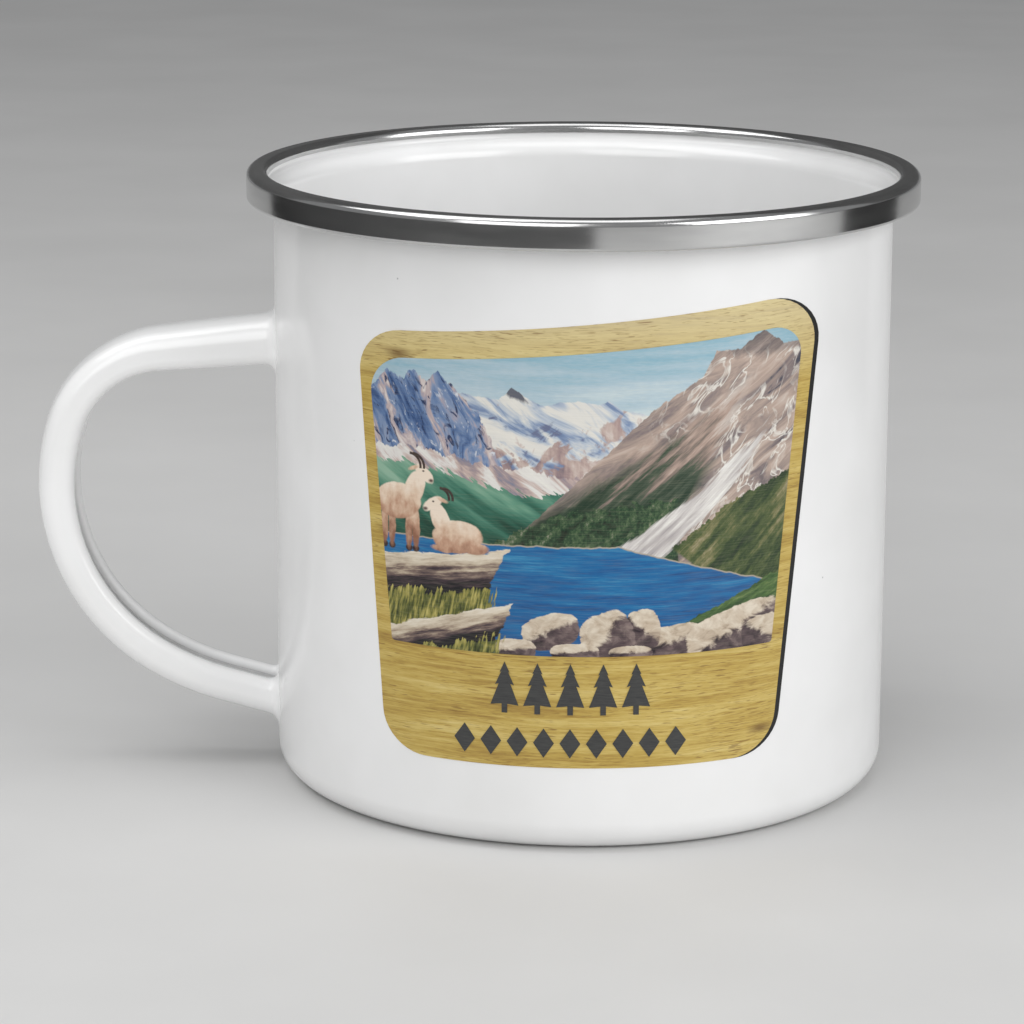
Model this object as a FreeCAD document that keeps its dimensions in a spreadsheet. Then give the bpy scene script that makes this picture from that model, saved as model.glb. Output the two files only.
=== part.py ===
import FreeCAD, Part
import math
import os

import Sketcher

# An enamelled steel camping mug. A deep-drawn steel cup and a rolled steel handle are welded
# together and coated all over with glass enamel, a dark ground coat under a white cover coat. The
# cup's edge is turned outwards into a roll, and a stainless band is crimped over it. A badge of thin
# ink films is printed on the front of the wall.
#
# Frame: +Z is up along the cup's axis, the origin is the middle of the base where it stands, the
# handle points along -X and the badge faces -Y. Millimetres throughout.

V = FreeCAD.Vector

SIZES = {
    # Cup, measured along the middle of the sheet steel
    "base_level": 0.5,
    "base_radius": 36.5,
    "base_corner": 3.5,
    "quarter_turn": 90.0,
    "wall_length": 72.5,
    "flare_out": 1.8,
    "flare_in": 1.2,
    "flare_turn": 70.53,
    "neck_length": 0.272,
    "roll_radius": 0.6,
    "half_turn": 180.0,
    "roll_leg": 2.05,
    # Layers, each face as a distance from the middle of the steel
    "steel_face": 0.25,
    "ground_face": 0.35,
    "cover_face": 0.5,
    # Stainless band over the roll, measured along the middle of the strip
    "band_start_radius": 41.35,
    "band_start_level": 79.7,
    "band_inner_leg": 0.35,
    "band_shoulder": 0.8,
    "band_top": 0.9,
    "band_outer_leg": 2.55,
    "band_crimp": 0.35,
    "band_lip": 2.5,
    "band_face": 0.15,
    # Handle's line in the XZ plane, from the upper foot round to the lower one
    "handle_root": 39.0,
    "handle_upper_level": 57.98,
    "handle_slope": 4.7,
    "handle_upper_arm": 16.9,
    "handle_top_radius": 14.5,
    "handle_top_turn": 67.0,
    "handle_side_radius": 27.3,
    "handle_side_turn": 76.0,
    "handle_bottom_radius": 34.0,
    "handle_bottom_turn": 17.3,
    "handle_lower_arm": 9.6,
    # Handle's section, half of a channel, measured along the middle of the strip
    "channel_crown_level": 1.95,
    "channel_crown_radius": 13.0,
    "channel_crown_turn": 13.0,
    "channel_edge_radius": 1.65,
    "channel_edge_turn": 77.0,
    "channel_side": 1.0,
    "channel_lip_radius": 0.95,
    "channel_lip_turn": 118.0,
    "strip_steel": 0.35,
    "strip_ground": 0.45,
    "strip_cover": 0.6,
    # Rings where the handle's feet meet the wall, as radii from the cup's axis
    "steel_wall": 40.25,
    "ground_wall": 40.35,
    "weld_face": 40.45,
    "cover_wall": 40.5,
    "weld_zone": 12.0,
    "upper_weld_level": 52.0,
    "lower_weld_level": 3.0,
    # Printed badge, as seen square on from the front
    "under_print": 40.56,
    "over_print": 40.62,
    "print_depth": 60.0,
    "board_bottom": 11.3,
    "board_bottom_left": 24.46,
    "board_bottom_right": 24.25,
    "board_left": 28.0,
    "board_left_top": 64.95,
    "board_right": 29.55,
    "board_right_top": 70.15,
    "board_corner": 5.6,
    "board_edge": 0.55,
    "picture_bottom": 25.75,
    "picture_bottom_left": 23.6,
    "picture_bottom_right": 24.1,
    "picture_left": 26.55,
    "picture_left_top": 61.7,
    "picture_right": 27.55,
    "picture_right_top": 66.25,
    "picture_right_corner": 3.4,
    "picture_left_corner": 4.6,
    "picture_foot_corner": 0.4,
    "fir_start": -9.3,
    "fir_level": 18.2,
    "fir_height": 6.6,
    "fir_trunk": 0.35,
    "fir_trunk_height": 1.0,
    "fir_half_width": 1.75,
    "fir_pitch": 4.1,
    "diamond_start": -14.3,
    "diamond_level": 14.5,
    "diamond_half_width": 1.3,
    "diamond_half_height": 1.9,
    "diamond_pitch": 3.3,
}

CUP_MOVES = [
    ("line", "base_radius"),
    ("left", "base_corner", "quarter_turn"),
    ("line", "wall_length"),
    ("right", "flare_out", "flare_turn"),
    ("left", "flare_in", "flare_turn"),
    ("line", "neck_length"),
    ("right", "roll_radius", "half_turn"),
    ("line", "roll_leg"),
]
BAND_MOVES = [
    ("line", "band_inner_leg"),
    ("right", "band_shoulder", "quarter_turn"),
    ("line", "band_top"),
    ("right", "band_shoulder", "quarter_turn"),
    ("line", "band_outer_leg"),
    ("right", "band_crimp", "quarter_turn"),
    ("line", "band_lip"),
]
HANDLE_MOVES = [
    ("line", "handle_upper_arm"),
    ("left", "handle_top_radius", "handle_top_turn"),
    ("left", "handle_side_radius", "handle_side_turn"),
    ("left", "handle_bottom_radius", "handle_bottom_turn"),
    ("line", "handle_lower_arm"),
]
CHANNEL_MOVES = [
    ("right", "channel_crown_radius", "channel_crown_turn"),
    ("right", "channel_edge_radius", "channel_edge_turn"),
    ("line", "channel_side"),
    ("right", "channel_lip_radius", "channel_lip_turn"),
]
OTHER_HAND = {"left": "right", "right": "left", "line": "line"}
START, END = 1, 2
FIR_COUNT = 5
DIAMOND_COUNT = 9

doc = FreeCAD.newDocument("mug")


def make_sheet():
    """The spreadsheet that holds every driving dimension under its own name."""
    sheet = doc.addObject("Spreadsheet::Sheet", "Sizes")
    for row, (name, value) in enumerate(SIZES.items(), start=1):
        sheet.set(f"A{row}", name)
        sheet.set(f"B{row}", str(value))
        sheet.setAlias(f"B{row}", name)
    doc.recompute()


def number(*names):
    """The sum of the named sizes, where a name with a minus sign is taken away."""
    return sum(-SIZES[n[1:]] if n.startswith("-") else SIZES[n] for n in names)


def formula(*names):
    """The same sum as an expression on the sheet."""
    text = ""
    for name in names:
        text += f" - Sizes.{name[1:]}" if name.startswith("-") else f" + Sizes.{name}"
    return text.removeprefix(" + ")


def hold(sketch, kind, where, names):
    """Adds a constraint whose value is the sum of the named sizes, bound to the sheet."""
    value = number(*names)
    if kind == "Angle":
        value = math.radians(value)
    index = sketch.addConstraint(Sketcher.Constraint(kind, *where, value))
    label = f"{kind.lower()}_{index}"
    sketch.renameConstraint(index, label)
    sketch.setExpression(f"Constraints.{label}", formula(*names))


def heading(degrees):
    """The unit vector at this angle in a sketch."""
    return V(math.cos(math.radians(degrees)), math.sin(math.radians(degrees)), 0)


def to_left(degrees):
    """The unit vector to the left of this heading."""
    return heading(degrees + 90)


def minus(name):
    """The name with its sign changed."""
    return name[1:] if name.startswith("-") else "-" + name


def trace(sketch, start, angle, moves, side=None):
    """Draws a run of moves as tangent lines and arcs and returns their indices.

    start is the first point of the middle line and angle its heading. side is the size by which the
    run lies to the left of the middle line, or to the right with a minus sign.
    """
    point = start + to_left(angle) * (number(side) if side else 0)
    made = []
    for move in moves:
        if move[0] == "line":
            reach = point + heading(angle) * number(move[1])
            index = sketch.addGeometry(Part.LineSegment(point, reach))
            hold(sketch, "Distance", (index,), [move[1]])
        else:
            turn = 1 if move[0] == "left" else -1
            shift = [minus(side) if turn > 0 else side] if side else []
            radius = number(move[1], *shift)
            bend = number(move[2])
            centre = point + to_left(angle) * turn * radius
            points = [
                centre - to_left(angle + turn * bend * part) * turn * radius for part in (0, 0.5, 1)
            ]
            index = sketch.addGeometry(Part.Arc(*points))
            hold(sketch, "Radius", (index,), [move[1], *shift])
            hold(sketch, "Angle", (index,), [move[2]])
            reach = points[2]
            angle += turn * bend
        # A sketch arc always runs anticlockwise, so a right turn starts at its far end.
        ends = (END, START) if move[0] == "right" else (START, END)
        if made:
            joint = (made[-1][0], made[-1][2], index, ends[0])
            sketch.addConstraint(Sketcher.Constraint("Tangent", *joint))
        made.append((index, *ends))
        point = reach
    return made, point, angle


def new_body(name):
    """An empty body with this label."""
    body = doc.addObject("PartDesign::Body", name)
    body.Label = name
    return body


def new_sketch(body, plane, name):
    """A sketch on one of the body's own origin planes."""
    sketch = body.newObject("Sketcher::SketchObject", name)
    origin = [f for f in body.Origin.OriginFeatures if f.Role == plane][0]
    sketch.AttachmentSupport = [(origin, "")]
    sketch.MapMode = "FlatFace"
    return sketch


def cap_flat(sketch, first, second, end):
    """Closes the start or the end of a strip with a straight line."""
    corner_a = first[0][:2] if end == START else (first[-1][0], first[-1][2])
    corner_b = second[0][:2] if end == START else (second[-1][0], second[-1][2])
    line = Part.LineSegment(sketch.getPoint(*corner_a), sketch.getPoint(*corner_b))
    index = sketch.addGeometry(line)
    sketch.addConstraint(Sketcher.Constraint("Coincident", index, START, *corner_a))
    sketch.addConstraint(Sketcher.Constraint("Coincident", index, END, *corner_b))


def fix_point(sketch, corner, across, up):
    """Fixes a corner by named sizes across and up from the sketch's origin."""
    for kind, names in (("DistanceX", across), ("DistanceY", up)):
        if names:
            hold(sketch, kind, (-1, 1, *corner), names)


def turned_strip(name, across, up, angle, moves, inner, outer):
    """A body turned about Z from a strip between two offsets of one middle line."""
    body = new_body(name)
    sketch = new_sketch(body, "XZ_Plane", name + "_strip")
    start = V(number(*across), number(*up), 0)
    runs = []
    for side in (inner, outer):
        made, _, _ = trace(sketch, start, angle, moves, side)
        first = made[0]
        lead = heading(angle)
        kind = "Horizontal" if abs(lead.x) > abs(lead.y) else "Vertical"
        sketch.addConstraint(Sketcher.Constraint(kind, first[0]))
        if kind == "Horizontal":
            sketch.addConstraint(Sketcher.Constraint("PointOnObject", first[0], first[1], -2))
            fix_point(sketch, first[:2], [], [*up, side])
        else:
            fix_point(sketch, first[:2], [*across, minus(side)], up)
        runs.append(made)
    cap_flat(sketch, *runs, START)
    cap_flat(sketch, *runs, END)
    turn = body.newObject("PartDesign::Revolution", name + "_turned")
    turn.Profile = (sketch, [""])
    turn.ReferenceAxis = (sketch, ["V_Axis"])
    turn.Angle = 360
    return body


def make_cup():
    """The drawn steel cup and the enamel layers on its two sides."""
    layers = {
        "cup_steel": ("steel_face", "-steel_face"),
        "cup_ground_coat_inside": ("ground_face", "steel_face"),
        "cup_cover_coat_inside": ("cover_face", "ground_face"),
        "cup_ground_coat_outside_whole": ("-steel_face", "-ground_face"),
        "cup_cover_coat_outside_whole": ("-ground_face", "-cover_face"),
    }
    return {
        name: turned_strip(name, [], ["base_level"], 0, CUP_MOVES, *sides)
        for name, sides in layers.items()
    }


def make_band():
    """The stainless band crimped over the rolled edge."""
    across = ["band_start_radius"]
    up = ["band_start_level"]
    return turned_strip("rim_band", across, up, 90, BAND_MOVES, "band_face", "-band_face")


def handle_line(body):
    """The sketch of the handle's line, which its section follows."""
    sketch = new_sketch(body, "XZ_Plane", body.Name + "_line")
    start = V(-SIZES["handle_root"], SIZES["handle_upper_level"], 0)
    made, _, _ = trace(sketch, start, 180 + SIZES["handle_slope"], HANDLE_MOVES)
    first = made[0]
    fix_point(sketch, first[:2], ["-handle_root"], ["handle_upper_level"])
    slope = sketch.addConstraint(
        Sketcher.Constraint("Angle", -1, 1, first[0], END, math.radians(SIZES["handle_slope"]))
    )
    sketch.renameConstraint(slope, "slope")
    sketch.setExpression("Constraints.slope", "Sizes.handle_slope")
    return sketch


def channel_half(sketch, hand, offset):
    """One half of the channel's outline, from the crown to the rolled lip and back."""
    moves = CHANNEL_MOVES
    angle = 0
    outer, inner = offset, "-" + offset
    if hand < 0:
        moves = [(OTHER_HAND[move[0]], *move[1:]) for move in moves]
        angle = 180
        outer, inner = inner, outer
    start = V(0, SIZES["channel_crown_level"], 0)
    runs = []
    for side, level in ((outer, offset), (inner, "-" + offset)):
        made, tip, turned = trace(sketch, start, angle, moves, side)
        first = made[0]
        sketch.addConstraint(Sketcher.Constraint("PointOnObject", first[0], first[1], -2))
        fix_point(sketch, first[:2], [], ["channel_crown_level", level])
        # The crown's centre lies on the middle plane, so the two halves meet smoothly.
        sketch.addConstraint(Sketcher.Constraint("PointOnObject", first[0], 3, -2))
        runs.append((made, tip, turned))
    (outside, tip_out, turned), (inside, tip_in, _) = runs
    middle = (tip_out + tip_in) / 2 + heading(turned) * SIZES[offset]
    rim = sketch.addGeometry(Part.Arc(tip_out, middle, tip_in))
    near = sketch.getPoint(rim, START).distanceToPoint(tip_out)
    far = sketch.getPoint(rim, END).distanceToPoint(tip_out)
    ends = (START, END) if near < far else (END, START)
    last_out, last_in = outside[-1], inside[-1]
    sketch.addConstraint(Sketcher.Constraint("Tangent", last_out[0], last_out[2], rim, ends[0]))
    sketch.addConstraint(Sketcher.Constraint("Coincident", last_in[0], last_in[2], rim, ends[1]))


def make_handle_solid(name, offset):
    """The handle's channel swept along its line, with its faces this far from the strip's middle."""
    body = new_body(name)
    line = handle_line(body)
    section = new_sketch(body, "YZ_Plane", name + "_section")
    for hand in (1, -1):
        channel_half(section, hand, offset)
    place = FreeCAD.Placement(V(0, 0, 0), FreeCAD.Rotation(V(1, 0, 0), -SIZES["handle_slope"]))
    section.AttachmentOffset = place
    section.setExpression("AttachmentOffset.Base.y", "Sizes.handle_upper_level")
    section.setExpression("AttachmentOffset.Base.z", "-Sizes.handle_root")
    section.setExpression("AttachmentOffset.Rotation.Angle", "-Sizes.handle_slope")
    doc.recompute()
    pipe = body.newObject("PartDesign::AdditivePipe", name + "_bent")
    pipe.Profile = (section, [""])
    pipe.Spine = (line, [f"Edge{i + 1}" for i in range(len(HANDLE_MOVES))])
    return body


def cylinder(name, radius, height=None, level=None):
    """A cylinder on the cup's axis, as tall as the mug unless a height is named."""
    tool = doc.addObject("Part::Cylinder", name)
    tool.Label = name
    tool.setExpression("Radius", f"Sizes.{radius}")
    tool.setExpression("Height", f"Sizes.{height}" if height else "Sizes.wall_length * 2")
    if level:
        tool.setExpression("Placement.Base.z", f"Sizes.{level}")
    else:
        tool.setExpression("Placement.Base.z", "-Sizes.wall_length / 2")
    return tool


def boolean(kind, name, base, tool):
    """A Part::Cut or Part::Common of two objects."""
    result = doc.addObject(f"Part::{kind}", name)
    result.Label = name
    result.Base = base
    result.Tool = tool
    return result


def make_handle(cup):
    """The handle's steel and coats, its two welds and the cup's coats with room for its feet."""
    solids = {
        layer: make_handle_solid(f"handle_to_{layer}", f"strip_{layer}")
        for layer in ("steel", "ground", "cover")
    }
    ground_ring = boolean("Cut", "handle_ground_shell", solids["ground"], solids["steel"])
    cover_ring = boolean("Cut", "handle_cover_shell", solids["cover"], solids["ground"])
    walls = {name: cylinder("core_to_" + name, name) for name in ("weld_face", "ground_wall", "cover_wall")}
    parts = [
        boolean("Cut", "handle_steel", solids["steel"], walls["weld_face"]),
        boolean("Cut", "handle_ground_coat", ground_ring, walls["ground_wall"]),
        boolean("Cut", "handle_cover_coat", cover_ring, walls["cover_wall"]),
    ]
    for place in ("upper", "lower"):
        level = f"{place}_weld_level"
        outside = cylinder(f"{place}_weld_outside", "weld_face", "weld_zone", level)
        inside = cylinder(f"{place}_weld_inside", "steel_wall", "weld_zone", level)
        ring = boolean("Cut", f"{place}_weld_ring", outside, inside)
        parts.append(boolean("Common", f"handle_weld_{place}", solids["steel"], ring))
    for coat, layer in (("ground", "steel"), ("cover", "ground")):
        whole = cup[f"cup_{coat}_coat_outside_whole"]
        parts.append(boolean("Cut", f"cup_{coat}_coat_outside", whole, solids[layer]))
    return parts


def rounded_outline(sketch, corners, radii):
    """A closed outline of straight sides between rounded corners, listed anticlockwise.

    Each corner is (across, up), two lists of named sizes, and radii holds a size name per corner.
    """
    points = [V(number(*across), number(*up), 0) for across, up in corners]
    count = len(points)
    arcs = []
    for i, point in enumerate(points):
        back = (points[i - 1] - point).normalize()
        ahead = (points[(i + 1) % count] - point).normalize()
        half = back.getAngle(ahead) / 2
        radius = SIZES[radii[i]]
        reach = radius / math.tan(half)
        middle = point + (back + ahead).normalize() * (radius / math.sin(half) - radius)
        arcs.append(sketch.addGeometry(Part.Arc(point + back * reach, middle, point + ahead * reach)))
        hold(sketch, "Radius", (arcs[i],), [radii[i]])
    sides = []
    for i in range(count):
        following = arcs[(i + 1) % count]
        line = Part.LineSegment(sketch.getPoint(arcs[i], END), sketch.getPoint(following, START))
        sides.append(sketch.addGeometry(line))
        sketch.addConstraint(Sketcher.Constraint("Tangent", arcs[i], END, sides[i], START))
        sketch.addConstraint(Sketcher.Constraint("Tangent", sides[i], END, following, START))
    for i in range(count):
        corner = sketch.addGeometry(Part.Point(points[i]), True)
        for side in (sides[i - 1], sides[i]):
            sketch.addConstraint(Sketcher.Constraint("PointOnObject", corner, START, side))
        fix_point(sketch, (corner, START), *corners[i])


def polygon(sketch, corners):
    """A closed outline of straight lines through named corners."""
    points = [V(number(*across), number(*up), 0) for across, up in corners]
    count = len(points)
    lines = []
    for i in range(count):
        lines.append(sketch.addGeometry(Part.LineSegment(points[i], points[(i + 1) % count])))
    for i in range(count):
        joint = (lines[i - 1], END, lines[i], START)
        sketch.addConstraint(Sketcher.Constraint("Coincident", *joint))
        fix_point(sketch, (lines[i], START), *corners[i])


def film_ring(name, inner, outer):
    """The thin shell that a printed film lies in."""
    return boolean(
        "Cut", name, cylinder(name + "_outside", outer), cylinder(name + "_inside", inner)
    )


def front_pad(body, sketch):
    """Pads a sketch of the front view towards -Y, past the wall."""
    pad = body.newObject("PartDesign::Pad", body.Name + "_pad")
    pad.Profile = (sketch, [""])
    pad.setExpression("Length", "Sizes.print_depth")
    return body


def board_prism(name, shift):
    """The board's outline padded to the front, moved to +X by the named sizes."""
    body = new_body(name)
    sketch = new_sketch(body, "XZ_Plane", name + "_outline")
    corners = [
        (["-board_bottom_left", *shift], ["board_bottom"]),
        (["board_bottom_right", *shift], ["board_bottom"]),
        (["board_right", *shift], ["board_right_top"]),
        (["-board_left", *shift], ["board_left_top"]),
    ]
    rounded_outline(sketch, corners, ["board_corner"] * len(corners))
    return front_pad(body, sketch)


def picture_prism():
    """The picture's outline padded to the front."""
    body = new_body("picture_prism")
    sketch = new_sketch(body, "XZ_Plane", "picture_outline")
    corners = [
        (["-picture_bottom_left"], ["picture_bottom"]),
        (["picture_bottom_right"], ["picture_bottom"]),
        (["picture_right"], ["picture_right_top"]),
        (["-picture_left"], ["picture_left_top"]),
    ]
    foot = "picture_foot_corner"
    rounded_outline(sketch, corners, [foot, foot, "picture_right_corner", "picture_left_corner"])
    return front_pad(body, sketch)


def row_of(name, corners, pitch, count):
    """One small shape padded to the front and repeated along X."""
    body = new_body(name)
    sketch = new_sketch(body, "XZ_Plane", name + "_outline")
    polygon(sketch, corners)
    front_pad(body, sketch)
    doc.recompute()
    pad = body.Tip
    row = body.newObject("PartDesign::LinearPattern", name + "_row")
    row.Originals = [pad]
    row.Direction = (sketch, ["H_Axis"])
    row.Occurrences = count
    row.setExpression("Length", f"Sizes.{pitch} * {count - 1}")
    body.Tip = row
    return body


def fir_row():
    """A row of plain fir trees, each a trunk under one triangle."""
    foot = ["fir_level", "fir_trunk_height"]
    corners = [
        (["fir_start", "-fir_trunk"], ["fir_level"]),
        (["fir_start", "fir_trunk"], ["fir_level"]),
        (["fir_start", "fir_trunk"], foot),
        (["fir_start", "fir_half_width"], foot),
        (["fir_start"], ["fir_level", "fir_height"]),
        (["fir_start", "-fir_half_width"], foot),
        (["fir_start", "-fir_trunk"], foot),
    ]
    return row_of("fir_prisms", corners, "fir_pitch", FIR_COUNT)


def diamond_row():
    """A row of diamonds under the firs."""
    corners = [
        (["diamond_start"], ["diamond_level", "-diamond_half_height"]),
        (["diamond_start", "diamond_half_width"], ["diamond_level"]),
        (["diamond_start"], ["diamond_level", "diamond_half_height"]),
        (["diamond_start", "-diamond_half_width"], ["diamond_level"]),
    ]
    return row_of("diamond_prisms", corners, "diamond_pitch", DIAMOND_COUNT)


def make_badge():
    """The badge's ink films: board and edge under the picture, the firs and the border."""
    under = film_ring("under_print_ring", "cover_wall", "under_print")
    over = film_ring("over_print_ring", "under_print", "over_print")
    board = board_prism("board_prism", [])
    edge = boolean("Cut", "edge_prism", board_prism("shadow_prism", ["board_edge"]), board)
    return [
        boolean("Common", "badge_board", board, under),
        boolean("Common", "badge_edge", edge, under),
        boolean("Common", "badge_picture", picture_prism(), over),
        boolean("Common", "badge_firs", fir_row(), over),
        boolean("Common", "badge_border", diamond_row(), over),
    ]


def check(parts):
    """Stops if any object failed, or any sub-part is empty or not valid."""
    for thing in doc.Objects:
        if {"Invalid", "Error"} & set(thing.State):
            raise RuntimeError(f"{thing.Label} failed: {thing.State}")
    for part in parts:
        shape = part.Shape
        if shape.isNull() or not shape.isValid() or not shape.Solids:
            raise RuntimeError(f"{part.Label} has no valid solid")
        print(f"{part.Label}: {len(shape.Solids)} solids, {shape.Volume:.2f} mm3")


def main():
    make_sheet()
    cup = make_cup()
    parts = [cup[name] for name in cup if not name.endswith("whole")]
    parts.append(make_band())
    parts += make_handle(cup)
    parts += make_badge()
    doc.recompute()
    check(parts)
    os.makedirs("parts", exist_ok=True)
    for part in parts:
        part.Shape.exportStep(f"parts/{part.Label}.step")


main()
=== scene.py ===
import math

import bmesh
import bpy
from mathutils import Matrix, Vector


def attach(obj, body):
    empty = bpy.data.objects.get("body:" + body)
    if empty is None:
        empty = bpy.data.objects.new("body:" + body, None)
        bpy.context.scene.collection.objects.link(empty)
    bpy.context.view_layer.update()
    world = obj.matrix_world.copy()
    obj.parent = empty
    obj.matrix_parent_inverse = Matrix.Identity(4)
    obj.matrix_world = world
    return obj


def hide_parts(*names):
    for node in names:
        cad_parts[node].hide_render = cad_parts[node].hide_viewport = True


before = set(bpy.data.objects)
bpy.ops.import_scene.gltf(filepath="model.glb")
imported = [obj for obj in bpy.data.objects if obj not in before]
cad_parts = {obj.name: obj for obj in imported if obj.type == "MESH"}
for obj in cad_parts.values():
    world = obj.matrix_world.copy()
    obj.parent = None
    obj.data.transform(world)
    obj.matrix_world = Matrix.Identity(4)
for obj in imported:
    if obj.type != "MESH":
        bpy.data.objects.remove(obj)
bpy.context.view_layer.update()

# An enamelled steel camping mug, in metres and in the CAD frame: Z is up, the handle points to -X and
# the badge faces -Y. Sizes below are in millimetres. The CAD's outer layers are rebuilt here as finer
# meshes of the same shape, so that the gloss runs over them without facets.

MM = 0.001
TINY = 1e-5                           # mm that count as nothing
BODY = "root"

# ---------------------------------------------------------------- sizes, in mm

CUP_TURNS = 256                       # steps round the cup
ARC_STEP = 5.0                        # degrees between two points of a profile's arc
HANDLE_STEP = 1.6                     # distance between two rings of the handle's straight runs
CHANNEL_STEP = 0.5                    # and between two points of its section's straight runs
LIP_STEPS = 8                         # steps round the rolled lip of the section
CORNER_STEPS = 10                     # steps round a corner of the badge
CREASE = 60                           # degrees above which a lathed edge stays sharp
FILM_CREASE = 40                      # and an edge of a film

# Mid-lines of the sheets: a start, a heading in degrees, then (length, 0) for a straight run or
# (radius, turn) for an arc, a positive turn being to the left. The cup's is in (r, z).
CUP_START, CUP_HEADING = (0.0, 0.5), 0.0
CUP_MOVES = [(36.5, 0), (3.5, 90), (72.5, 0), (1.8, -70.53), (1.2, 70.53), (0.272, 0),
             (0.6, -180), (2.05, 0)]
BAND_START, BAND_HEADING = (41.35, 79.7), 90.0
BAND_MOVES = [(0.35, 0), (0.8, -90), (0.9, 0), (0.8, -90), (2.55, 0), (0.35, -90), (2.5, 0)]
HANDLE_START, HANDLE_HEADING = (-39.0, 57.98), 184.7
HANDLE_MOVES = [(16.9, 0), (14.5, 67), (27.3, 76), (34.0, 17.3), (9.6, 0)]
CHANNEL_START, CHANNEL_HEADING = (0.0, 1.95), 0.0
CHANNEL_MOVES = [(13.0, -13), (1.65, -77), (1.0, 0), (0.95, -118)]

COAT_TOP, COAT_FOOT = 0.50, 0.35      # faces of the cup's white coat, from the sheet's middle
BAND_HALF = 0.15
SKIN_TOP, SKIN_FOOT = 0.60, 0.45      # faces of the handle's white coat
WALL_RADIUS = 40.5
WALL_SINK = 0.04                      # how far the handle's ends sink into the cup's coat
FLARE = 1.5                           # radius of the enamel fillet outside each foot
FLARE_HOLLOW = 0.3                    # and inside the channel
FOOT_RINGS = 9
FOOT_GAP = 1.2                        # from a foot's last ring to the handle's first ring
INNER_STEP = 0.2                      # between two rings of the inner skin at a foot
UPPER_SWELL = (0.9, 0.3)              # the upper arm's extra depth at its foot, on top and underneath
UPPER_SWELL_END = 24.0                # distance along the handle's line where that has died away
SWELL_EASE = 0.4                      # share of an S curve in how it dies away, the rest being straight

BOARD_RADII = (40.50, 40.56)
PRINT_RADII = (40.56, 40.62)
FILM_STEP = 1.0
BOARD = [(-24.46, 11.3), (24.25, 11.3), (29.55, 70.15), (-28.0, 64.95)]
BOARD_CORNERS = [5.6] * 4
EDGE_SHIFT = 0.55
PICTURE = [(-23.6, 25.75), (24.1, 25.75), (27.55, 66.25), (-26.55, 61.7)]
PICTURE_CORNERS = [0.4, 0.4, 3.4, 4.6]
FIR_START, FIR_PITCH, FIR_COUNT, FIR_LEVEL = -9.3, 4.1, 5, 18.2
DIAMOND_START, DIAMOND_PITCH, DIAMOND_COUNT, DIAMOND_LEVEL = -14.3, 3.3, 9, 14.5
DIAMOND_HALF = (1.3, 1.9)


# ---------------------------------------------------------------- meshes

def walk(start, heading, moves, run_step=4.0):
    """Points (a, b, heading in radians) along a chain of straight runs and arcs."""
    a, b, h = start[0], start[1], math.radians(heading)
    rows = [(a, b, h)]
    for size, turn in moves:
        if turn == 0:
            count = max(1, round(size / run_step))
            for i in range(1, count + 1):
                rows.append((a + size * i / count * math.cos(h), b + size * i / count * math.sin(h), h))
            a, b = rows[-1][:2]
            continue
        side = math.copysign(1.0, turn)
        ca, cb = a - side * size * math.sin(h), b + side * size * math.cos(h)
        count = max(4, math.ceil(abs(turn) / ARC_STEP))
        for i in range(1, count + 1):
            g = h + math.radians(turn) * i / count
            rows.append((ca + side * size * math.sin(g), cb - side * size * math.cos(g), g))
        a, b, h = rows[-1]
    return rows


def beside(rows, distance):
    """The points of a walk moved to the right of its heading by a distance."""
    return [(a + distance * math.sin(h), b - distance * math.cos(h)) for a, b, h in rows]


def finish_mesh(name, points, faces, sharp=None):
    """A closed, smooth-shaded mesh object that rides on the body, its points given in mm."""
    mesh = bpy.data.meshes.new(name)
    mesh.from_pydata([(x * MM, y * MM, z * MM) for x, y, z in points], [], faces)
    work = bmesh.new()
    work.from_mesh(mesh)
    bmesh.ops.recalc_face_normals(work, faces=work.faces)
    if work.calc_volume(signed=True) < 0:
        bmesh.ops.reverse_faces(work, faces=work.faces)
    work.to_mesh(mesh)
    work.free()
    mesh.shade_smooth()
    if sharp:
        mesh.set_sharp_from_angle(angle=math.radians(sharp))
    piece = bpy.data.objects.new(name, mesh)
    bpy.context.collection.objects.link(piece)
    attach(piece, BODY)
    return piece


def lathe(name, outline):
    """Turns an outline of (r, z) about Z. Points on the axis become poles, else the outline closes."""
    points, rings = [], []
    for r, z in outline:
        if r < TINY:
            rings.append([len(points)])
            points.append((0.0, 0.0, z))
            continue
        rings.append(range(len(points), len(points) + CUP_TURNS))
        for k in range(CUP_TURNS):
            turn = math.tau * k / CUP_TURNS
            points.append((r * math.sin(turn), -r * math.cos(turn), z))
    pairs = list(zip(rings, rings[1:]))
    if len(rings[0]) > 1:
        pairs.append((rings[-1], rings[0]))
    faces = []
    for low, high in pairs:
        for k in range(CUP_TURNS):
            n = (k + 1) % CUP_TURNS
            if len(low) == 1:
                faces.append((low[0], high[n], high[k]))
            elif len(high) == 1:
                faces.append((low[k], low[n], high[0]))
            else:
                faces.append((low[k], low[n], high[n], high[k]))
    return finish_mesh(name, points, faces, CREASE)


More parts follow.
